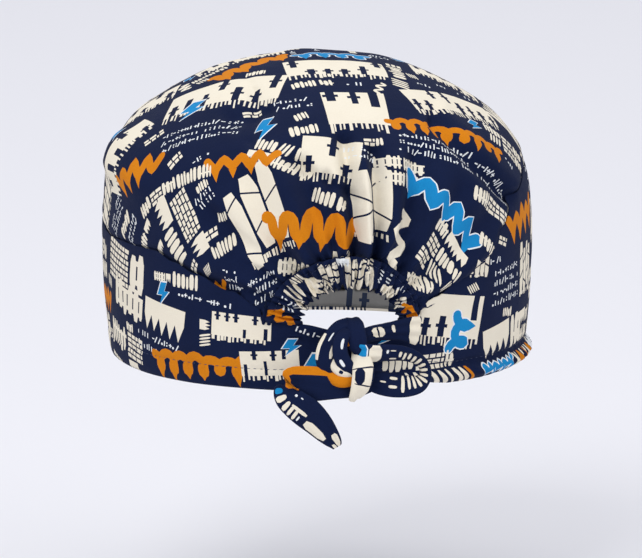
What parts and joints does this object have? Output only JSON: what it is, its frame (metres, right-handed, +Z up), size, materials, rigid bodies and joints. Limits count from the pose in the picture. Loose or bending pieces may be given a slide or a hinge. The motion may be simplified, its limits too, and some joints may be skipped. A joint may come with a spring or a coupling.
{
  "type": "surgical scrub cap",
  "caption": "Soft printed cotton scrub cap with a gathered crown, a side band, a ruched half-moon opening at the back and a tied knot with a loop and a hanging tail.",
  "frame": {"origin": "centre of the rim, level with the hem, where the head sits in the cap", "axes": "+Z up through the crown, +Y towards the wearer's forehead, the knot and the opening at -Y"},
  "size_m": [0.1882, 0.224, 0.1551],
  "materials": {
    "crown_cotton": "matte plain-woven cotton, printed in cream, orange and sky blue on navy",
    "band_cotton": "the same printed cotton, print upright",
    "casing_cotton": "the same printed cotton, tightly ruched over elastic",
    "tie_cotton": "the same printed cotton, folded into a strap"
  },
  "bodies": {
    "root": {"crown_panel": "crown_cotton", "side_band": "band_cotton", "elastic_casing": "casing_cotton", "knot_body": "tie_cotton", "knot_wrap": "tie_cotton", "right_tie_root": "tie_cotton", "right_tie_loop": "tie_cotton", "left_tie_tail": "tie_cotton"}
  },
  "joints": []
}
